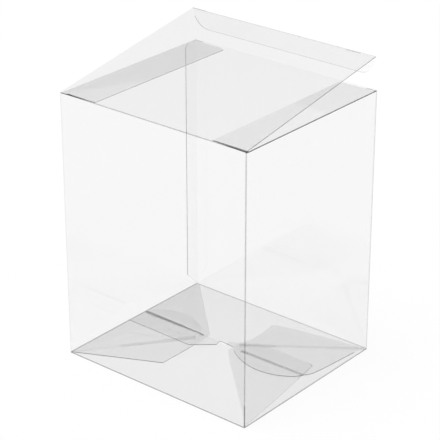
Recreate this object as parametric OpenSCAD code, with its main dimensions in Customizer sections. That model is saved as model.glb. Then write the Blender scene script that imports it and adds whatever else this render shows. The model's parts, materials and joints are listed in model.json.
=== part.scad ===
// Clear folding box that keeps a boxed figure safe: four walls, two dust flaps, a lid with a tuck flap and a
// bottom of four interlocked flaps, all folded from one sheet of stiff clear film.
// Millimetres, +Z up, origin in the middle of the footprint at the level the box stands on. The lid's crease
// runs along X on top of the front wall, which faces -Y.

/* [Box] */
// Width of the front and back walls, along X
box_w = 165; // [130:1:220]
// Depth from front to back, along Y
box_d = 143.75; // [120:0.25:190]
// Height from the foot to the top of the lid's crease
box_h = 205; // [150:1:300]
// Thickness of the film
film = 0.5; // [0.3:0.05:0.6]

/* [Lid and tuck flap] */
// Angle of the lid above shut
lid_open = 10; // [0:1:170]
// Angle of the tuck flap below the plane of the lid
tuck_fold = 93; // [0:1:100]
// Depth of the tuck flap beyond its crease
tuck_depth = 15.3; // [13:0.1:24]
// Radius of the tuck flap's free corners
tuck_corner = 12.8; // [3:0.2:12.8]
// Length of the slit at each end of the tuck crease
slit_len = 12; // [6:0.5:20]
// Opening of each slit
slit_gap = 1.2; // [0.8:0.1:2]

/* [Dust flaps] */
// Width of each dust flap from its crease
dust_w = 29.5; // [20:0.5:45]
// Angle that the dust flaps hang below level
dust_sag = 2; // [0:0.5:4]
// Width of the square shoulder beside each crease
shoulder_w = 7.5; // [5:0.5:12]

/* [Seam] */
// Width of the glued seam flap
seam_w = 12; // [8:0.5:18]
// Cut of the seam flap's top corner
seam_corner = 3.5; // [1:0.5:6]

/* [Interlocked bottom] */
// Height of the ridge where the two main bottom flaps lock, from the floor to its top
ridge_rise = 7.75; // [4:0.25:12]
// How far each main flap's round lobe runs past the ridge
lobe_reach = 13.4; // [8:0.2:16]
// How far each main flap's straight end runs past the ridge
end_reach = 16; // [8:0.5:20]
// How far the front main flap's lobe and notch are set over from the back one's
front_shift = 7; // [0:0.5:9]
// Narrowing of the front main flap's glued side at the ridge
front_glued_in = 9.4; // [1:0.2:14]
// Narrowing of the back main flap's glued side at the ridge
back_glued_in = 2; // [1:0.2:14]
// Narrowing of the front main flap's free side at the ridge
front_free_in = 5.6; // [3:0.2:14]
// Narrowing of the back main flap's free side at the ridge
back_free_in = 10; // [3:0.2:14]
// Depth of the left glued tab's cut at its inner end
left_tab_cut = 28; // [12:1:34]
// Depth of the right glued tab's cut at its inner end
right_tab_cut = 17; // [12:1:34]
// How far the right glued tab's corner runs on past its panel
right_tab_reach = 6.2; // [0:0.2:8]

/* [Hidden] */
$fn = 48;

// Clearances
crease_gap = 0.08;      // between a crease's bead and the panel it turns against
side_clear = 0.3;       // between the lid's sides and the box's outside
lid_clear = 0.3;        // between the shut lid and the rims and dust flaps below it
tuck_clear = 0.3;       // between the tuck flap and the back wall, and the dust flaps' ends
layer_gap = 0.06;       // between two bottom flaps that only lie on each other
lap = 0.15;             // how far two panels run into each other at a fold

// Creases of the lid
bead_r = film / 2;
lid_axis_y = -box_d / 2 + bead_r;
lid_axis_z = box_h - bead_r;
lid_len = box_d - 2 * film - tuck_clear;
tuck_half = box_w / 2 - 2 * film - side_clear;
lid_half = box_w / 2 - side_clear;
rim_z = box_h - film - lid_clear;

// Dust flaps: the far ends stop short of the tuck flap's inner face as the lid shuts
dust_near = 2 * film;
dust_far = box_d - 3 * film - tuck_clear;
dust_end_taper = 2;

// Bottom: each main flap lies high on its lobe side and low on the other, one film thickness apart
ridge_at = box_d / 2;
foot_z = film;
layer = film + layer_gap;
high_rise = ridge_rise - foot_z - film;
low_rise = high_rise - layer;
high_slope = atan(high_rise / ridge_at);
low_slope = atan(low_rise / ridge_at);
side_slope = (high_slope + low_slope) / 2;
ridge_run = ridge_at / cos(side_slope);
notch_run = ridge_run + 2 * lap;
swap_from = 0.416 * box_w;
swap_to = 0.595 * box_w;
level_from = swap_from + front_shift;
lobe_x = 0.22 * box_w;
lobe_r = 0.293 * box_w;
lobe_y = ridge_run + lobe_reach - lobe_r;
lobe_corner_r = 10;
free_end_in = 7.3;
side_end_gap = 4.225;   // from a side flap's inner end to the ridge
side_inner_end = min(ridge_at - side_end_gap, 0.41 * box_w);
tab_corner = 3;

function arc(centre, r, from, to, steps) =
    [for (i = [0:steps]) let (a = from + (to - from) * i / steps) centre + r * [cos(a), sin(a)]];

// Places a panel that starts at a wall's foot (front wall, local x from its left end) and rises to the middle
module rising(slope) {
    translate([-box_w / 2, -box_d / 2, foot_z]) rotate([slope, 0, 0]) children();
}

// Places the end of a main flap, bent down past the ridge to follow the flap from the other side
module past_ridge(rise, slope) {
    translate([-box_w / 2, 0, foot_z + rise]) rotate([-slope, 0, 0]) children();
}

// Outline of a main bottom flap: x from its glued corner, y from its crease along the film
module main_flap_outline(front) {
    glued_in = front ? front_glued_in : back_glued_in;
    free_in = front ? front_free_in : back_free_in;
    shift = front ? front_shift : 0;
    lobe = [lobe_x + shift, lobe_y];
    corner = [glued_in + lobe_corner_r,
              lobe.y + sqrt(pow(lobe_r - lobe_corner_r, 2) - pow(lobe.x - glued_in - lobe_corner_r, 2))];
    meet = atan2(corner.y - lobe.y, corner.x - lobe.x);
    lobe_end = asin((ridge_run + 3 - lobe.y) / lobe_r);
    polygon(concat(
        [[1, 0]],
        arc(corner, lobe_corner_r, 180, meet, 6),
        arc(lobe, lobe_r, meet, lobe_end, 16),
        [[swap_from + shift, notch_run],
         [box_w / 2 + shift, notch_run],
         [box_w / 2 + shift - 1, ridge_run + 4],
         [swap_to + shift, ridge_run + end_reach],
         [box_w - free_end_in, ridge_run + end_reach],
         [box_w - free_in, ridge_run],
         [box_w - 0.4 * free_in, ridge_run / 3],
         [box_w - 0.5, 0]]));
}

// Part of a flat outline between two distances from its glued corner and two from its crease, as film
module flap_part(x0, x1, y0, y1, start = 0) {
    translate([0, -start, 0]) linear_extrude(film) intersection() {
        children();
        translate([x0, y0]) square([x1 - x0, y1 - y0]);
    }
}

// One main bottom flap: lobe side on top, straight side below, and a level between them at the notch.
// The front lobe springs straight on past the ridge, and the back one bends down along the front flap.
module main_flap(front) {
    reach = ridge_run + lobe_reach + end_reach;
    level_to = swap_to + (front ? front_shift : 0);
    rising(high_slope) flap_part(0, level_from, lap, front ? reach : ridge_run) main_flap_outline(front);
    rising(side_slope) flap_part(level_from, level_to, lap, notch_run) main_flap_outline(front);
    rising(low_slope) flap_part(level_to, box_w, lap, ridge_run) main_flap_outline(front);
    if (!front)
        past_ridge(high_rise, low_slope) flap_part(0, swap_from, ridge_run - lap, reach, ridge_run)
            main_flap_outline(front);
    past_ridge(low_rise, high_slope) flap_part(level_from, box_w, ridge_run - lap, reach, ridge_run)
        main_flap_outline(front);
}

// One side bottom flap with the tab that is glued under the main flap, folded along the line from their
// corner. Local x runs from its wall inward and local y from its glued corner.
module side_flap(tab_cut, tab_reach) {
    inner = side_inner_end;
    fold_y = inner * tan(side_slope) / tan(high_slope);
    free_y = box_d - inner * tan(side_slope) / tan(low_slope);
    glue_sink = 0.1 * lap;
    translate([-box_w / 2, -box_d / 2, 0]) {
        rotate([0, -side_slope, 0]) linear_extrude(film)
            polygon([[lap, lap], [inner, fold_y - lap], [inner + 1, free_y], [lap, box_d - lap]]);
        rotate([high_slope, 0, 0]) translate([0, 0, glue_sink]) linear_extrude(film)
            polygon([[lap, lap], [inner + tab_reach - tab_corner / 2, tab_cut],
                     [inner + tab_reach, tab_cut + tab_corner], [inner + 1, 0.8 * fold_y],
                     [inner, fold_y + lap], [lap, 3 * lap]]);
    }
}

// Seam flap: folded in from the back wall and glued to the inside of the left wall
module seam_flap() {
    top = rim_z - film;
    y1 = box_d / 2 - film / 2;
    y0 = box_d / 2 - seam_w;
    translate([-box_w / 2 + film - lap, 0, 0]) rotate([90, 0, 90]) linear_extrude(film + lap)
        polygon([[y1, film], [y1, top], [y0 + seam_corner, top],
                 [y0, top - seam_corner], [y0, seam_w + film]]);
}

// Dust flap of the left wall: a slightly tapered panel with a square shoulder at its far end
module dust_flap() {
    far = dust_far - box_d / 2;
    near = dust_near - box_d / 2;
    translate([-box_w / 2, 0, rim_z]) rotate([0, dust_sag, 0]) translate([0, 0, -film]) linear_extrude(film)
        polygon([[lap, near], [dust_w, near + 1], [dust_w, far - 2.2 * dust_end_taper],
                 [dust_w - 3.5, far - dust_end_taper], [shoulder_w + 0.7, far - 0.6],
                 [shoulder_w, far], [lap, far]]);
}

// Four walls: the front one ends under the lid's crease, the others a little lower, clear of the shut lid
module walls() {
    front_top = lid_axis_z - bead_r - crease_gap;
    difference() {
        translate([-box_w / 2, -box_d / 2, 0]) cube([box_w, box_d, front_top]);
        translate([-box_w / 2 + film, -box_d / 2 + film, -1])
            cube([box_w - 2 * film, box_d - 2 * film, front_top + 2]);
        translate([-box_w / 2 - 1, -box_d / 2 + film, rim_z]) cube([box_w + 2, box_d, film + 1]);
    }
}

module folded_box() {
    color([0.90, 0.92, 0.93, 0.4]) {
        walls();
        seam_flap();
        for (side = [0, 1]) mirror([side, 0, 0]) dust_flap();
        main_flap(front = true);
        side_flap(left_tab_cut, 0);
        rotate([0, 0, 180]) {
            main_flap(front = false);
            side_flap(right_tab_cut, right_tab_reach);
        }
    }
}

// Frame of the lid: x along its crease, y across the panel, z through the film
module on_lid() {
    translate([0, lid_axis_y, lid_axis_z]) rotate([lid_open, 0, 0]) children();
}

module lid() {
    crease_half = tuck_half - slit_len;
    color([0.90, 0.92, 0.93, 0.4]) on_lid() {
        rotate([0, 90, 0]) cylinder(r = bead_r, h = 2 * lid_half, center = true);
        translate([0, 0, -bead_r]) linear_extrude(film) difference() {
            translate([-lid_half, 0]) square([2 * lid_half, lid_len + bead_r]);
            translate([-crease_half - crease_gap, lid_len - bead_r - crease_gap])
                square([2 * (crease_half + crease_gap), 2 * film]);
        }
    }
}

// Outline of the tuck flap: x along its crease, y away from it
module tuck_outline() {
    flat_half = tuck_half - tuck_corner;
    difference() {
        union() {
            translate([-tuck_half, 0]) square([2 * tuck_half, tuck_depth - tuck_corner]);
            translate([-flat_half, 0]) square([2 * flat_half, tuck_depth]);
            for (side = [-1, 1]) translate([side * flat_half, tuck_depth - tuck_corner])
                circle(r = tuck_corner);
        }
        for (side = [-1, 1]) translate([side * tuck_half, slit_gap / 2 - 1])
            square([2 * slit_len, slit_gap + 2], center = true);
        translate([-box_w, -2 * tuck_corner]) square([2 * box_w, 2 * tuck_corner]);
    }
}

module tuck_flap() {
    crease_half = tuck_half - slit_len;
    color([0.90, 0.92, 0.93, 0.4]) on_lid() translate([0, lid_len, 0]) rotate([-tuck_fold, 0, 0]) {
        rotate([0, 90, 0]) cylinder(r = bead_r, h = 2 * crease_half, center = true);
        translate([0, 0, -bead_r]) linear_extrude(film) tuck_outline();
    }
}

folded_box();
lid();
tuck_flap();
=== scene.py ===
import json
import math
from collections import namedtuple

import bmesh
import bpy
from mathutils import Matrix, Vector


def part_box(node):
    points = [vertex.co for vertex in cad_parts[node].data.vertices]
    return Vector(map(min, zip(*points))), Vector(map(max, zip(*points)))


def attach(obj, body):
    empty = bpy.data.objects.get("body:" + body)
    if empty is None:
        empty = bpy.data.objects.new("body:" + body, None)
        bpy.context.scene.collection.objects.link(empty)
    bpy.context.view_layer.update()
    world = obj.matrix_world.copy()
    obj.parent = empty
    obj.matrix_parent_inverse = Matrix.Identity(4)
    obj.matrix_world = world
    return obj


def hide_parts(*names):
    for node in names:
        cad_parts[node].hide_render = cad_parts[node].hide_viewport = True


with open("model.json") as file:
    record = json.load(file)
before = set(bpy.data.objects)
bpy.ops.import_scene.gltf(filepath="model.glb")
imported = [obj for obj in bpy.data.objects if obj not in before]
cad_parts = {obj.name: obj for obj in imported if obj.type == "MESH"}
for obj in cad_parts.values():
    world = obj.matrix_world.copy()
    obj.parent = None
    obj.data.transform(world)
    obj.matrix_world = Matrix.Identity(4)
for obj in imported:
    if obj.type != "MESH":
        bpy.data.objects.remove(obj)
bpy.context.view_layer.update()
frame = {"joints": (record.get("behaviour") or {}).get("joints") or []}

# Lengths are in metres
MM = 0.001
CUT_TOLERANCE = 1e-7

# Sizes that the frame gives
joint_at = {joint["name"]: Vector(joint["pos_m"]) for joint in frame["joints"]}
box_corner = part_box("folded_box")[1]
HALF_W = box_corner.x
HALF_D = box_corner.y
FRONT_TOP = box_corner.z
WIDTH = 2 * HALF_W
DEPTH = 2 * HALF_D
LID_AXIS = joint_at["lid_crease"]
TUCK_AXIS = joint_at["tuck_crease"]
FILM = 2 * (LID_AXIS.y + HALF_D)
LID_LEN = (TUCK_AXIS - LID_AXIS).length
LID_ANGLE = math.atan2(TUCK_AXIS.z - LID_AXIS.z, TUCK_AXIS.y - LID_AXIS.y)
LID_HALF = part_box("lid")[1].x
TUCK_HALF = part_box("tuck_flap")[1].x

# Walls, whose side and back rims stay clear of the shut lid
LID_CLEAR = 0.3 * MM
RIM = LID_AXIS.z - FILM / 2 - LID_CLEAR
CORNER_R = 0.7 * MM
CORNER_STEPS = 4
FOOT_LINE = 0.7 * MM
DARK_FOOT = 18 * MM
# Heights that the walls are cut at. The front right corner's line of painted shade is darker between the
# second and the third
LEVELS = [0.0, FOOT_LINE, DARK_FOOT, 60 * MM, 120 * MM, 180 * MM]
SEAM_W = 12 * MM
SEAM_CORNER = 3.5 * MM
SEAM_FOOT = 1.0 * MM
SEAM_SLANT_TOP = 12.6 * MM
SEAM_BELOW_RIM = 0.2 * MM

# Dust flaps, in distances from the side walls and from the front wall's outside
DUST_W = 30.5 * MM
DUST_SAG = math.radians(0.2)
DUST_NEAR = 1.0 * MM
DUST_TAPER = 2.0 * MM
DUST_FAR = 143.0 * MM
DUST_END = DUST_FAR - 1.5 * MM
DUST_CORNER_W = 3.5 * MM
DUST_CORNER_D = 2.3 * MM
SHOULDER_W = 7.5 * MM
SHOULDER_STEP = 1.1 * MM
SHOULDER_SLANT = 0.7 * MM
WALL_INSET = 0.02 * MM

# Bottom, whose flaps rise from their walls' feet to a soft ridge, one layer apart where they overlap
RIDGE_RISE = 7.75 * MM
RIDGE_AT = HALF_D
RIDGE_SOFT = 1.2 * MM
FOOT = 1.5 * FILM
SLOPE = (RIDGE_RISE - FOOT) / RIDGE_AT
LAYER = FILM + 0.06 * MM
# The main flaps change places, upper for lower, between these distances along their walls
SWAP_FROM = 0.42 * WIDTH
SWAP_TO = 0.59 * WIDTH
# How far apart the bottom's sheets are cut, and how far from the ridge on either side
GRID = 9 * MM
RIDGE_CUT = 2.4 * MM

# Main flaps, each with a round lobe, a notch and a straight end. On the front flap they lie further over
LOBE_R = 48.3 * MM
LOBE_X = 36 * MM
LOBE_Y = 37 * MM
END_AT = RIDGE_AT + 15.7 * MM
FRONT_SHIFT = 7 * MM
FRONT_LOBE_OUT = 1.5 * MM
FRONT_END_OUT = 3.8 * MM
# A lobe's arc starts on its glued side, and stops this far past the ridge
FRONT_LOBE_START = math.pi - math.acos(0.63)
BACK_LOBE_START = math.pi - math.acos(0.58)
FRONT_LOBE_PAST = 0.3 * MM
BACK_LOBE_PAST = 2.6 * MM
# The front lobe's tighter side, toward the notch
TIGHT_R = 35 * MM
TIGHT_START = math.radians(112)

# Lid and tuck flap, whose sheets start a little behind their creases
SHEET_START = -0.2 * MM
# Bands of painted shade along the creases of the lid and the tuck flap
FOLD_SHADE_AT = 0.05 * MM
FOLD_SHADE_HALF = 0.25 * MM
CREASE_GAP = 0.08 * MM
TUCK_FOLD = math.radians(93)
TUCK_DEPTH = 14.7 * MM
TUCK_CORNER = 12.8 * MM
SLIT_LEN = 12 * MM
SLIT_GAP = 1.2 * MM
# A band of painted shade on the lid beside its right slit
SLIT_SHADE_FROM = 57.5 * MM
SLIT_SHADE_TO = 70.0 * MM
SLIT_SHADE_HALF = 0.35 * MM
# Round the tuck flap's corners, the right one's first steps and the left one's last steps show no edge
TUCK_CORNER_STEPS = 10
RIGHT_CORNER_HIDDEN = 6
LEFT_CORNER_SHOWN = 8

# Clear films, one film in lit and shaded copies: the share of light that a face lets through, and the share
# that it mirrors when seen head on, set for each part to paint the shade and reflection that part shows
FILMS = {"film": (0.9835, 0.030), "film_back": (0.9835, 0.065), "film_lid": (0.994, 0.040),
         "film_tuck": (0.991, 0.034), "film_dust": (0.974, 0.045), "film_dust_right": (0.977, 0.018),
         "film_main": (0.984, 0.055), "film_side": (0.964, 0.055), "film_side_left": (0.970, 0.055)}
FILM_GREY = 0.97
MIRROR_BLEND = 0.5
MIRROR_POWER = 4.5
SCUFF_SCALE = 260
SCUFF_DETAIL = 4
SCUFF_STRETCH = (1, 1, 0.12)
ROUGHNESS = 0.03
SCUFF_ROUGHNESS = 0.10
WAVE_SCALE = 9
WAVE_DETAIL = 1
WAVE_STRENGTH = 0.06
WAVE_HEIGHT = 4 * MM

# Cut edges and creases, drawn as dark lines of painted shade, from faint to strong: the share of what lies
# behind that a line hides
LINES = {"line_1": 0.14, "line_2": 0.22, "line_3": 0.32, "line_4": 0.55, "line_5": 0.75, "line_6": 0.95}
# Dark grey of the lines' painted shade
LINE_SHADE_COLOUR = (0.05, 0.05, 0.0515, 1)
LINE_ROUGHNESS = 0.45
LINE_SPECULAR = 0.1
# Share of a line's strength that is left where it is seen from within, through the film
SEEN_FROM_WITHIN = 0.6
STREAK_SCALE = 70
STREAK_DETAIL = 3
STREAK_SPREAD = 0.2

# Floor, room, light and camera
FLOOR_R = 40
FLOOR_COLOUR = (0.95, 0.95, 0.95, 1)
FLOOR_GLOW = 0.9
# The room's brightness at the horizon, at heights between, and overhead
ROOM_LOW = 1.0
ROOM_STOPS = ((0.14, 1.0), (0.30, 0.50), (0.62, 0.45))
ROOM_HIGH = 0.42
LIGHT_POWER = 1.95
LIGHT_SPREAD = math.radians(40)
LIGHT_TOWARD = (0.16, 0.24, -0.95)
AZIMUTH = math.radians(39.738)
ELEVATION = math.radians(25.237)
LENS = 146.116
SENSOR = 36.0
EYE = (0.7360, -0.8841, 0.6487)

# A band of painted shade on a sheet, along a crease, a ridge or an edge: its middle line's ends, its half
# width at each end and its material
Band = namedtuple("Band", "start end half_start half_end kind")

# A wall: its top, its film, the lines of painted shade along its rim and foot, the corner at its end, and
# that corner's shade line
Wall = namedtuple("Wall", "top film rim foot corner bend")
WALLS = (Wall(FRONT_TOP, "film", "line_4", "line_4", (1, -1), "line_3"),
         Wall(RIM - FILM, "film", "line_2", "line_4", (1, 1), "line_4"),
         Wall(RIM, "film_back", "film", "line_3", (-1, 1), "film"),
         Wall(RIM - FILM, "film", "film", "line_4", (-1, -1), "line_2"))
FRONT_WALL = WALLS[0]
DARK_FOOT_LINE = "line_4"


# Materials

def tree_of(name):
    material = bpy.data.materials.new(name)
    material.use_nodes = True
    nodes = material.node_tree.nodes
    nodes.clear()
    return material, nodes, material.node_tree.links


def math_node(nodes, links, operation, *values):
    """A Math node's output. Each value is a number or another node's output."""
    node = nodes.new("ShaderNodeMath")
    node.operation = operation
    for socket, value in zip(node.inputs, values):
        if hasattr(value, "is_output"):
            links.new(value, socket)
        else:
            socket.default_value = value
    return node.outputs[0]


def noise(nodes, links, scale, detail, stretch=(1, 1, 1)):
    coords = nodes.new("ShaderNodeTexCoord")
    mapping = nodes.new("ShaderNodeMapping")
    mapping.inputs["Scale"].default_value = stretch
    texture = nodes.new("ShaderNodeTexNoise")
    texture.inputs["Scale"].default_value = scale
    texture.inputs["Detail"].default_value = detail
    links.new(coords.outputs["Object"], mapping.inputs["Vector"])
    links.new(mapping.outputs["Vector"], texture.inputs["Vector"])
    return texture.outputs["Fac"]


def blend_to_surface(nodes, links, share, first, second):
    """Mixes two shaders by a share of the second, as the material's surface."""
    out = nodes.new("ShaderNodeOutputMaterial")
    mix = nodes.new("ShaderNodeMixShader")
    links.new(share, mix.inputs["Fac"])
    links.new(first.outputs[0], mix.inputs[1])
    links.new(second.outputs[0], mix.inputs[2])
    links.new(mix.outputs[0], out.inputs["Surface"])


def clear_film(name, tint, mirror_head_on):
    """Clear stiff film: each face passes light with a faint grey tint and mirrors more at a low angle."""
    material, nodes, links = tree_of(name)
    clear = nodes.new("ShaderNodeBsdfTransparent")
    clear.inputs["Color"].default_value = (tint, tint, tint, 1)
    gloss = nodes.new("ShaderNodeBsdfPrincipled")
    gloss.inputs["Base Color"].default_value = (FILM_GREY, FILM_GREY, FILM_GREY, 1)
    gloss.inputs["Metallic"].default_value = 1.0
    facing = nodes.new("ShaderNodeLayerWeight")
    facing.inputs["Blend"].default_value = MIRROR_BLEND
    power = math_node(nodes, links, "POWER", facing.outputs["Facing"], MIRROR_POWER)
    mirror = math_node(nodes, links, "MULTIPLY_ADD", power, 1 - mirror_head_on, mirror_head_on)
    scuffs = noise(nodes, links, SCUFF_SCALE, SCUFF_DETAIL, SCUFF_STRETCH)
    roughness = math_node(nodes, links, "MULTIPLY_ADD", scuffs, SCUFF_ROUGHNESS, ROUGHNESS)
    links.new(roughness, gloss.inputs["Roughness"])
    bump = nodes.new("ShaderNodeBump")
    bump.inputs["Strength"].default_value = WAVE_STRENGTH
    bump.inputs["Distance"].default_value = WAVE_HEIGHT
    links.new(noise(nodes, links, WAVE_SCALE, WAVE_DETAIL), bump.inputs["Height"])
    links.new(bump.outputs["Normal"], gloss.inputs["Normal"])
    blend_to_surface(nodes, links, mirror, clear, gloss)
    return material


def film_line(name, opacity):
    """A cut edge or a crease, drawn with painted shade: the film's narrow side turns light away, so it looks
    like a fine grey line.
    Seen from within, through the film, the line is weaker."""
    material, nodes, links = tree_of(name)
    clear = nodes.new("ShaderNodeBsdfTransparent")
    body = nodes.new("ShaderNodeBsdfPrincipled")
    body.inputs["Base Color"].default_value = LINE_SHADE_COLOUR
    body.inputs["Roughness"].default_value = LINE_ROUGHNESS
    body.inputs["Specular IOR Level"].default_value = LINE_SPECULAR
    side = nodes.new("ShaderNodeNewGeometry")
    strength = math_node(nodes, links, "MULTIPLY_ADD", side.outputs["Backfacing"], SEEN_FROM_WITHIN - 1, 1.0)
    streaks = noise(nodes, links, STREAK_SCALE, STREAK_DETAIL)
    shade = math_node(nodes, links, "MULTIPLY_ADD", streaks, 2 * STREAK_SPREAD * opacity,
                      opacity * (1 - STREAK_SPREAD))
    share = math_node(nodes, links, "MULTIPLY", shade, strength)
    blend_to_surface(nodes, links, share, clear, body)
    return material


MATERIALS = {name: clear_film(name, *values) for name, values in FILMS.items()}
MATERIALS.update((name, film_line(name, share)) for name, share in LINES.items())
MATERIAL_ORDER = list(MATERIALS)


# Outlines and bands

def mm(*points):
    """Points in metres from points written in millimetres."""
    return [(x * MM, y * MM) for x, y in points]


def arc(centre, radius, start, end, steps):
    return [(centre[0] + radius * math.cos(start + (end - start) * i / steps),
             centre[1] + radius * math.sin(start + (end - start) * i / steps)) for i in range(steps + 1)]


def sides(kind, *points):
    """Part of an outline: each point with the material of the side that starts there."""
    return [(Vector(point), kind) for point in points]


def even_band(start, end, half, kind):
    return Band(start, end, half, half, kind)


# Sheet building

def paint(face, kind):
    face.material_index = MATERIAL_ORDER.index(kind)


def cut_along(flat, point, direction):
    """Cuts a flat sheet by the line through a point along a direction."""
    geometry = flat.verts[:] + flat.edges[:] + flat.faces[:]
    across = (-direction[1], direction[0], 0)
    bmesh.ops.bisect_plane(flat, geom=geometry, dist=CUT_TOLERANCE, plane_co=(*point, 0), plane_no=across)


def cut_grid(flat, outline):
    """Cuts a flat sheet into even strips both ways, so that it can follow the bottom's rise."""
    for axis, direction in ((0, (0, 1)), (1, (1, 0))):
        low = min(point[axis] for point, _ in outline)
        high = max(point[axis] for point, _ in outline)
        strips = int((high - low) / GRID) + 1
        for i in range(1, strips):
            at = low + (high - low) * i / strips
            cut_along(flat, (at, 0) if axis == 0 else (0, at), direction)


def cut_band(flat, band):
    """Cuts a flat sheet along a band's two sides and across its two ends."""
    start, end = Vector(band.start), Vector(band.end)
    along = (end - start).normalized()
    across = Vector((-along.y, along.x))
    for sign in (-1, 1):
        corner = start + across * sign * band.half_start
        cut_along(flat, corner, (end + across * sign * band.half_end - corner).normalized())
    cut_along(flat, start, across)
    cut_along(flat, end, across)


def in_band(point, band):
    along = Vector(band.end) - Vector(band.start)
    offset = point - Vector(band.start)
    share = offset.dot(along) / along.length_squared
    off = abs(offset.dot(Vector((-along.y, along.x)).normalized()))
    return 0 <= share <= 1 and off < band.half_start + (band.half_end - band.half_start) * share


def distance_to_segment(point, start, end):
    along = end - start
    share = max(0.0, min(1.0, (point - start).dot(along) / along.length_squared))
    return (point - (start + along * share)).length


def side_kind(point, outline):
    """The material of the outline's side that a point lies on."""
    distances = [distance_to_segment(point, start, outline[(i + 1) % len(outline)][0])
                 for i, (start, _) in enumerate(outline)]
    return outline[distances.index(min(distances))][1]


def panel(outline, surface, film, bands=(), creases=(), follow_rise=False):
    """A closed thin sheet. outline: 2D points with their sides' materials. surface(x, y): the sheet's middle
    point and unit normal. bands: marks of painted shade on both of its faces, the last on top. creases:
    lines that the sheet bends along, as (point, direction)."""
    flat = bmesh.new()
    flat.faces.new([flat.verts.new((point.x, point.y, 0)) for point, _ in outline])
    if follow_rise:
        cut_grid(flat, outline)
    for point, direction in creases:
        cut_along(flat, point, direction)
    for band in bands:
        cut_band(flat, band)
    sheet = bmesh.new()
    tops, bottoms = {}, {}
    for vertex in flat.verts:
        middle, normal = surface(vertex.co.x, vertex.co.y)
        tops[vertex] = sheet.verts.new(middle + normal * (FILM / 2))
        bottoms[vertex] = sheet.verts.new(middle - normal * (FILM / 2))
    for patch in flat.faces:
        centre = patch.calc_center_median().xy
        kinds = [film] + [band.kind for band in bands if in_band(centre, band)]
        for corners in ([tops[v] for v in patch.verts], [bottoms[v] for v in reversed(patch.verts)]):
            face = sheet.faces.new(corners)
            paint(face, kinds[-1])
            face.smooth = True
    for edge in flat.edges:
        if len(edge.link_faces) == 1:
            a, b = edge.verts
            face = sheet.faces.new((tops[a], tops[b], bottoms[b], bottoms[a]))
            paint(face, side_kind(((a.co + b.co) / 2).xy, outline))
            for rim in face.edges:
                rim.smooth = False
    flat.free()
    return sheet


def join(sheets):
    whole = bmesh.new()
    for sheet in sheets:
        part = bpy.data.meshes.new("part")
        sheet.to_mesh(part)
        sheet.free()
        whole.from_mesh(part)
        bpy.data.meshes.remove(part)
    return whole


def new_piece(name, sheet, body):
    mesh = bpy.data.meshes.new(name)
    bmesh.ops.recalc_face_normals(sheet, faces=sheet.faces)
    sheet.to_mesh(mesh)
    sheet.free()
    for key in MATERIAL_ORDER:
        mesh.materials.append(MATERIALS[key])
    piece = bpy.data.objects.new(name, mesh)
    bpy.context.scene.collection.objects.link(piece)
    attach(piece, body)
    return piece


# Box: four walls, seam flap and dust flaps

def corner_points(wall, following, start):
    """Points round the corner at a wall's end: outer and inner place, top, the materials of the strip that
    starts there, from the foot up, and its rim's material."""
    centre = (wall.corner[0] * (HALF_W - CORNER_R), wall.corner[1] * (HALF_D - CORNER_R))
    outer = arc(centre, CORNER_R, start, start + math.pi / 2, CORNER_STEPS)
    inner = arc(centre, CORNER_R - FILM, start, start + math.pi / 2, CORNER_STEPS)
    points = []
    for k in range(CORNER_STEPS + 1):
        share = k / CORNER_STEPS
        top = wall.top * (1 - share) + following.top * share
        in_bend = k < CORNER_STEPS
        side = wall if in_bend else following
        kinds = [side.foot] + [wall.bend if in_bend else following.film] * (len(LEVELS) - 1)
        # The front right corner's painted shade is darker low down
        if in_bend and wall is FRONT_WALL:
            kinds[LEVELS.index(FOOT_LINE)] = DARK_FOOT_LINE
        points.append((outer[k], inner[k], top, kinds, side.rim))
    return points


def walls():
    """The four walls as one closed ring of film, with a small bend at each corner."""
    ring = []
    for i, wall in enumerate(WALLS):
        ring += corner_points(wall, WALLS[(i + 1) % len(WALLS)], math.radians(90 * (i - 1)))
    sheet = bmesh.new()
    outer = [[sheet.verts.new((*place, z)) for z in LEVELS + [top]] for place, _, top, _, _ in ring]
    inner = [[sheet.verts.new((*place, z)) for z in LEVELS + [top]] for _, place, top, _, _ in ring]
    for i, (_, _, _, kinds, rim_kind) in enumerate(ring):
        j = (i + 1) % len(ring)
        for level, kind in enumerate(kinds):
            for shell, flip in ((outer, False), (inner, True)):
                quad = [shell[i][level], shell[j][level], shell[j][level + 1], shell[i][level + 1]]
                face = sheet.faces.new(quad[::-1] if flip else quad)
                paint(face, kind)
                face.smooth = True
        if i % (CORNER_STEPS + 1) in (0, CORNER_STEPS):
            for shell in (outer, inner):
                for low, high in zip(shell[i], shell[i][1:]):
                    sheet.edges.get((low, high)).smooth = False
        for level, kind in ((0, "film"), (-1, rim_kind)):
            face = sheet.faces.new((outer[i][level], outer[j][level], inner[j][level], inner[i][level]))
            paint(face, kind)
            for edge in face.edges:
                if abs(edge.verts[0].co.z - edge.verts[1].co.z) < MM:
                    edge.smooth = False
    return sheet


def seam_flap():
    """The strip folded in from the back wall and glued inside the left wall. Its outline is in y and z."""
    x = -HALF_W + 1.5 * FILM
    top = RIM - FILM - SEAM_BELOW_RIM
    far = HALF_D - FILM / 2
    near = HALF_D - SEAM_W
    corner = arc((near + SEAM_CORNER, top - SEAM_CORNER), SEAM_CORNER, math.pi / 2, math.pi, steps=5)
    outline = sides("line_4", (near, SEAM_SLANT_TOP)) + sides("film", (far, SEAM_FOOT), (far, top))
    outline += sides("line_4", *corner[:-1]) + sides("line_5", corner[-1])

    def surface(y, z):
        return Vector((x, y, z)), Vector((1, 0, 0))
    return panel(outline, surface, "film")


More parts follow.
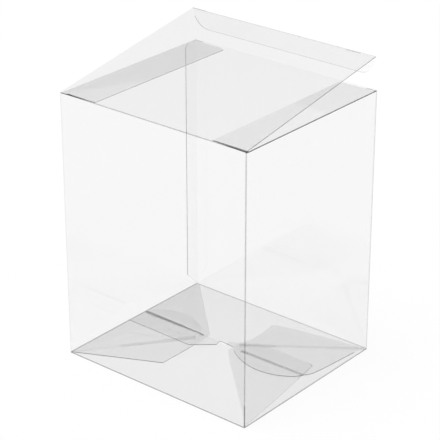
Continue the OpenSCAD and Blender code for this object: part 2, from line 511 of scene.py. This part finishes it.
def dust_flap(side):
    """side is -1 for the left wall's flap and 1 for the right wall's. The outline is in distances from the
    side wall and from the front wall's outside, and its far end has a square shoulder by the wall."""
    left = side < 0
    near_free = DUST_NEAR + DUST_TAPER
    shoulder_foot = (SHOULDER_W + SHOULDER_SLANT, DUST_FAR - SHOULDER_STEP)
    outline = sides("line_6", (WALL_INSET, DUST_NEAR))
    outline += sides("line_4" if left else "film", (DUST_W, near_free))
    outline += sides("film", (DUST_W, DUST_END - DUST_CORNER_D), (DUST_W - DUST_CORNER_W, DUST_END))
    outline += sides("line_4", shoulder_foot, (SHOULDER_W, DUST_FAR))
    outline += sides("film" if left else "line_5", (WALL_INSET, DUST_FAR))
    # Bands of painted shade along the shoulder's edge, along the near edge and, on the right flap, along the
    # crease at the wall
    shoulder_shade = even_band((0, DUST_FAR), (SHOULDER_W, DUST_FAR), 0.5 * MM, "line_2")
    if left:
        near_shade = Band((5 * MM, DUST_NEAR), (22 * MM, DUST_NEAR + 1.2 * MM),
                          2.1 * MM, 0.6 * MM, "line_5")
        bands = [shoulder_shade, near_shade]
    else:
        crease_half = 0.3 * MM
        wall_crease_shade = even_band((crease_half, 0), (crease_half, DEPTH), crease_half, "line_5")
        near_shade = Band((0, DUST_NEAR), (DUST_W - 1 * MM, near_free), 2.4 * MM, 0.5 * MM, "line_5")
        bands = [shoulder_shade, wall_crease_shade, near_shade]

    def surface(across, along):
        place = Vector((side * (HALF_W - across * math.cos(DUST_SAG)), along - HALF_D,
                        RIM - FILM / 2 - across * math.sin(DUST_SAG)))
        return place, Vector((-side * math.sin(DUST_SAG), 0, math.cos(DUST_SAG)))
    return panel(outline, surface, "film_dust" if left else "film_dust_right", bands)


# Interlocked bottom

def smooth_step(x, low, high):
    share = max(0.0, min(1.0, (x - low) / (high - low)))
    return share * share * (3 - 2 * share)


def tent(v):
    """Rise of the bottom at a distance v from either long wall, up to the ridge and down past it."""
    return SLOPE * (RIDGE_AT + RIDGE_SOFT - math.hypot(v - RIDGE_AT, RIDGE_SOFT))


def notch(shift, end_at):
    """The notch between a main flap's lobe and its straight end."""
    return [(68.8 * MM + shift, RIDGE_AT), (82.4 * MM + shift, RIDGE_AT - 1.0 * MM),
            (81.2 * MM + shift, RIDGE_AT + 4.4 * MM), (98.2 * MM + shift, end_at)]


def front_outline():
    """The front wall's flap: distances along its wall from its glued corner, and away from the wall."""
    end_at = END_AT + FRONT_END_OUT
    lobe = (LOBE_X + FRONT_SHIFT, LOBE_Y + FRONT_LOBE_OUT)
    tight = (lobe[0] + (LOBE_R - TIGHT_R) * math.cos(TIGHT_START),
             lobe[1] + (LOBE_R - TIGHT_R) * math.sin(TIGHT_START))
    tight_stop = math.asin((RIDGE_AT + FRONT_LOBE_PAST - tight[1]) / TIGHT_R)
    outline = sides("film", *mm((1.0, 0.3)), (9.4 * MM, RIDGE_AT - 2 * MM))
    outline += sides("film", *arc(lobe, LOBE_R, FRONT_LOBE_START, TIGHT_START, steps=8)[:-1])
    outline += sides("film", *arc(tight, TIGHT_R, TIGHT_START, tight_stop, steps=12))
    outline += sides("film", *notch(FRONT_SHIFT, end_at))
    outline += sides("line_6", (151.0 * MM, end_at), (154.6 * MM, end_at - 1 * MM), *mm((158.6, 75.8)))
    outline += sides("line_3", *mm((159.8, 66.3), (162.4, 37.3), (163.6, 13.5)))
    return outline + sides("film", *mm((164.3, 0.3)))


def back_outline():
    """The back wall's flap, in its own wall's distances. Its lobe is one arc."""
    stop = math.asin((RIDGE_AT + BACK_LOBE_PAST - LOBE_Y) / LOBE_R)
    round_part = arc((LOBE_X, LOBE_Y), LOBE_R, BACK_LOBE_START, stop, steps=20)
    first, second, third, fourth = notch(0.0, END_AT)
    outline = sides("film", *mm((1.0, 0.3)))
    outline += sides("line_6", *mm((1.9, 13.6), (1.2, 50.4), (1.5, 63.5), (2.6, 68.4), (4.8, 72.2)))
    outline += sides("line_6", *round_part[:-1]) + sides("film", round_part[-1])
    outline += sides("line_5", first, second) + sides("line_6", third) + sides("line_5", fourth)
    outline += sides("film", (158.3 * MM, END_AT - 0.4 * MM), (154.9 * MM, RIDGE_AT))
    return outline + sides("film", *mm((163.9, 0.5)))


def ridge_band(start, end, half_start, half_end):
    """A stretch of the ridge's shade on the front flap, in millimetres."""
    return Band((start * MM, RIDGE_AT), (end * MM, RIDGE_AT), half_start * MM, half_end * MM, "line_4")


def main_flap(turn):
    """turn is 1 for the front wall's flap and -1 for the back wall's, which is turned half round. Each lobe
    lies over the other flap's straight end. Past the ridge the front lobe springs straight on, and the back
    one bends."""
    front = turn > 0
    if front:
        bands = [ridge_band(9.8, 13, 0.7, 1.3), ridge_band(13, 48, 1.4, 1.1), ridge_band(48, 65, 0.9, 0.6),
                 ridge_band(65, 68, 1.2, 1.2)]
    else:
        lobe_shade = Band(*mm((60.7, 72.8), (4.8, 71.7)), 1.4 * MM, 1.3 * MM, "line_3")
        bands = [lobe_shade]

    def surface(u, v):
        swap = smooth_step(u, SWAP_FROM, SWAP_TO)
        z = FOOT + tent(v) + (1 - 2 * swap) * LAYER / 2 * min(v / RIDGE_AT, 1)
        if front and v > RIDGE_AT:
            z += (1 - swap) * (SLOPE * v - tent(v))
        return Vector((turn * (u - HALF_W), turn * (v - HALF_D), z)), Vector((0, 0, 1))
    creases = [((0, RIDGE_AT + offset), (1, 0)) for offset in (-RIDGE_CUT, RIDGE_CUT)]
    outline = front_outline() if front else back_outline()
    return panel(outline, surface, "film_main", bands, creases, follow_rise=True)


def side_flap(turn, film, tab, inner_end, crease, shades):
    """turn is 1 for the left wall's flap and -1 for the right wall's. tab: the outline past the 45 degree
    crease, where it is glued under a main flap. inner_end: the outline's next points. crease: the crease's
    inner end. shades: from one share of the crease's length to another, two half widths in millimetres and a
    material."""
    outline = tab + sides("film", *inner_end, (0.6 * MM, DEPTH - 0.8 * MM))
    bands = [Band((crease[0] * start, crease[1] * start), (crease[0] * end, crease[1] * end),
                  half_start * MM, half_end * MM, kind) for start, end, half_start, half_end, kind in shades]

    def surface(u, v):
        z = FOOT - FILM + SLOPE * min(u * crease[1] / crease[0], v)
        return Vector((turn * (u - HALF_W), turn * (v - HALF_D), z)), Vector((0, 0, 1))
    return panel(outline, surface, film, bands, [((0, 0), crease)], follow_rise=True)


def left_side_flap():
    tab = sides("line_6", *mm((0.6, 0.8))) + sides("line_5", *mm((66.1, 28.0)))
    tab += sides("film", *mm((69.8, 57.4), (70.9, 67.6)))
    inner_end = mm((71.1, 74.6), (70.0, 76.6)) + [(3.6 * MM, DEPTH - 0.8 * MM)]
    shades = ((0.02, 0.4, 1.5, 2.0, "line_1"), (0.4, 0.99, 1.9, 2.6, "line_2"))
    return side_flap(1, "film_side_left", tab, inner_end, (64.7 * MM, 67.8 * MM), shades)


def right_side_flap():
    tab = sides("film", *mm((0.6, 0.8), (33.1, 7.1), (53.4, 11.3), (72.3, 17.0), (73.9, 20.4), (70.4, 35.4),
                            (68.9, 49.9), (70.2, 66.2)))
    inner_end = mm((70.7, 75.5), (57.8, 89.0), (34.6, 110.2), (12.3, 130.5))
    shades = ((0.02, 0.7, 1.9, 1.7, "line_2"), (0.7, 0.98, 1.7, 1.8, "line_3"))
    return side_flap(-1, "film_side", tab, inner_end, (70.2 * MM, 66.2 * MM), shades)


# Lid and tuck flap

def lid():
    """The lid, in distances along its crease and away from it."""
    end = LID_LEN - FILM / 2 - CREASE_GAP
    tab_end = LID_LEN + FILM / 2
    crease_half = TUCK_HALF - SLIT_LEN + CREASE_GAP
    up = Vector((0, -math.sin(LID_ANGLE), math.cos(LID_ANGLE)))
    outline = sides("line_2", (-LID_HALF, SHEET_START)) + sides("line_5", (LID_HALF, SHEET_START))
    outline += sides("line_3", (LID_HALF, tab_end))
    outline += sides("film", (crease_half, tab_end), (crease_half, end), (-crease_half, end))
    outline += sides("line_6", (-crease_half, tab_end)) + sides("film", (-LID_HALF, tab_end))

    def surface(x, y):
        return LID_AXIS + Vector((x, y * math.cos(LID_ANGLE), y * math.sin(LID_ANGLE))), up
    # Painted shade along the crease and beside the right slit
    fold = even_band((-LID_HALF, FOLD_SHADE_AT), (LID_HALF, FOLD_SHADE_AT), FOLD_SHADE_HALF, "line_3")
    slit_shade_at = end - SLIT_SHADE_HALF
    slit = even_band((SLIT_SHADE_FROM, slit_shade_at), (SLIT_SHADE_TO, slit_shade_at), SLIT_SHADE_HALF, "line_3")
    return panel(outline, surface, "film_lid", [fold, slit])


def tuck_flap():
    """The tuck flap, in distances along its crease and away from it, with a slit at each end."""
    angle = LID_ANGLE - TUCK_FOLD
    down = Vector((0, math.cos(angle), math.sin(angle)))
    out = Vector((0, -math.sin(angle), math.cos(angle)))
    flat = TUCK_HALF - TUCK_CORNER
    deep = TUCK_DEPTH - TUCK_CORNER
    crease_half = TUCK_HALF - SLIT_LEN
    right = arc((flat, deep), TUCK_CORNER, 0, math.pi / 2, TUCK_CORNER_STEPS)
    left = arc((-flat, deep), TUCK_CORNER, math.pi / 2, math.pi, TUCK_CORNER_STEPS)
    outline = sides("film", (crease_half, SHEET_START), (crease_half, SLIT_GAP), (TUCK_HALF, SLIT_GAP))
    outline += sides("film", *right[:RIGHT_CORNER_HIDDEN]) + sides("line_6", *right[RIGHT_CORNER_HIDDEN:-1])
    outline += sides("line_5", right[-1]) + sides("line_6", *left[:LEFT_CORNER_SHOWN])
    outline += sides("film", *left[LEFT_CORNER_SHOWN:])
    outline += sides("film", (-TUCK_HALF, SLIT_GAP), (-crease_half, SLIT_GAP))
    outline += sides("line_1", (-crease_half, SHEET_START))

    def surface(x, y):
        return TUCK_AXIS + Vector((x, 0, 0)) + down * y, out
    # Painted shade along the crease
    fold = even_band((-crease_half, FOLD_SHADE_AT), (crease_half, FOLD_SHADE_AT), FOLD_SHADE_HALF, "line_1")
    return panel(outline, surface, "film_tuck", [fold])


box_parts = [walls(), seam_flap(), dust_flap(-1), dust_flap(1)]
bottom_parts = [main_flap(1), main_flap(-1), left_side_flap(), right_side_flap()]
box_sheet = new_piece("box_sheet", join(box_parts), "box")
new_piece("bottom_flaps", join(bottom_parts), "box")
lid_sheet = new_piece("lid_sheet", lid(), "lid")
tuck_sheet = new_piece("tuck_sheet", tuck_flap(), "tuck_flap")
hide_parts("folded_box")
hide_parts("lid")
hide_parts("tuck_flap")


# Stage, light and camera

def floor():
    """A pale floor that looks white to the camera and in reflections, and still takes a shadow."""
    material, nodes, links = tree_of("floor")
    paper = nodes.new("ShaderNodeBsdfDiffuse")
    paper.inputs["Color"].default_value = FLOOR_COLOUR
    glow = nodes.new("ShaderNodeEmission")
    path = nodes.new("ShaderNodeLightPath")
    seen = math_node(nodes, links, "MAXIMUM", path.outputs["Is Camera Ray"], path.outputs["Is Glossy Ray"])
    seen = math_node(nodes, links, "MAXIMUM", seen, path.outputs["Is Transmission Ray"])
    share = math_node(nodes, links, "MULTIPLY", seen, FLOOR_GLOW)
    blend_to_surface(nodes, links, share, paper, glow)
    mesh = bpy.data.meshes.new("floor")
    shape = bmesh.new()
    bmesh.ops.create_circle(shape, cap_ends=True, segments=64, radius=FLOOR_R)
    shape.to_mesh(mesh)
    shape.free()
    mesh.materials.append(material)
    disc = bpy.data.objects.new("floor", mesh)
    bpy.context.scene.collection.objects.link(disc)


def surroundings():
    """A white sweep up to about 8 degrees above the horizon, and a dimmer room above it."""
    world = bpy.data.worlds.new("studio")
    bpy.context.scene.world = world
    world.use_nodes = True
    nodes, links = world.node_tree.nodes, world.node_tree.links
    nodes.clear()
    out = nodes.new("ShaderNodeOutputWorld")
    room = nodes.new("ShaderNodeBackground")
    coords = nodes.new("ShaderNodeTexCoord")
    split = nodes.new("ShaderNodeSeparateXYZ")
    ramp = nodes.new("ShaderNodeValToRGB")
    low, high = ramp.color_ramp.elements
    low.color = (ROOM_LOW, ROOM_LOW, ROOM_LOW, 1)
    high.color = (ROOM_HIGH, ROOM_HIGH, ROOM_HIGH, 1)
    for position, level in ROOM_STOPS:
        ramp.color_ramp.elements.new(position).color = (level, level, level, 1)
    links.new(coords.outputs["Generated"], split.inputs[0])
    links.new(split.outputs["Z"], ramp.inputs[0])
    links.new(ramp.outputs["Color"], room.inputs["Color"])
    links.new(room.outputs[0], out.inputs["Surface"])


def overhead_light():
    """One broad overhead light, a little to the front left. The film shows no mirror image of it."""
    lamp = bpy.data.lights.new("overhead", "SUN")
    lamp.angle = LIGHT_SPREAD
    lamp.energy = LIGHT_POWER
    light = bpy.data.objects.new("overhead", lamp)
    light.visible_glossy = False
    light.rotation_mode = "QUATERNION"
    light.rotation_quaternion = Vector(LIGHT_TOWARD).to_track_quat("-Z", "Y")
    bpy.context.scene.collection.objects.link(light)


def camera():
    """The photo's camera, solved from the box's corners."""
    level = math.cos(ELEVATION)
    back = Vector((math.sin(AZIMUTH) * level, -math.cos(AZIMUTH) * level, math.sin(ELEVATION)))
    data = bpy.data.cameras.new("camera")
    data.lens = LENS
    data.sensor_width = SENSOR
    data.clip_start, data.clip_end = 0.05, 100
    eye = bpy.data.objects.new("camera", data)
    eye.location = EYE
    eye.rotation_mode = "QUATERNION"
    eye.rotation_quaternion = (-back).to_track_quat("-Z", "Y")
    bpy.context.scene.collection.objects.link(eye)
    bpy.context.scene.camera = eye


floor()
surroundings()
overhead_light()
camera()
scene = bpy.context.scene
scene.view_settings.view_transform = "Standard"
scene.cycles.transparent_max_bounces = 96
scene.cycles.max_bounces = 24
scene.cycles.glossy_bounces = 8
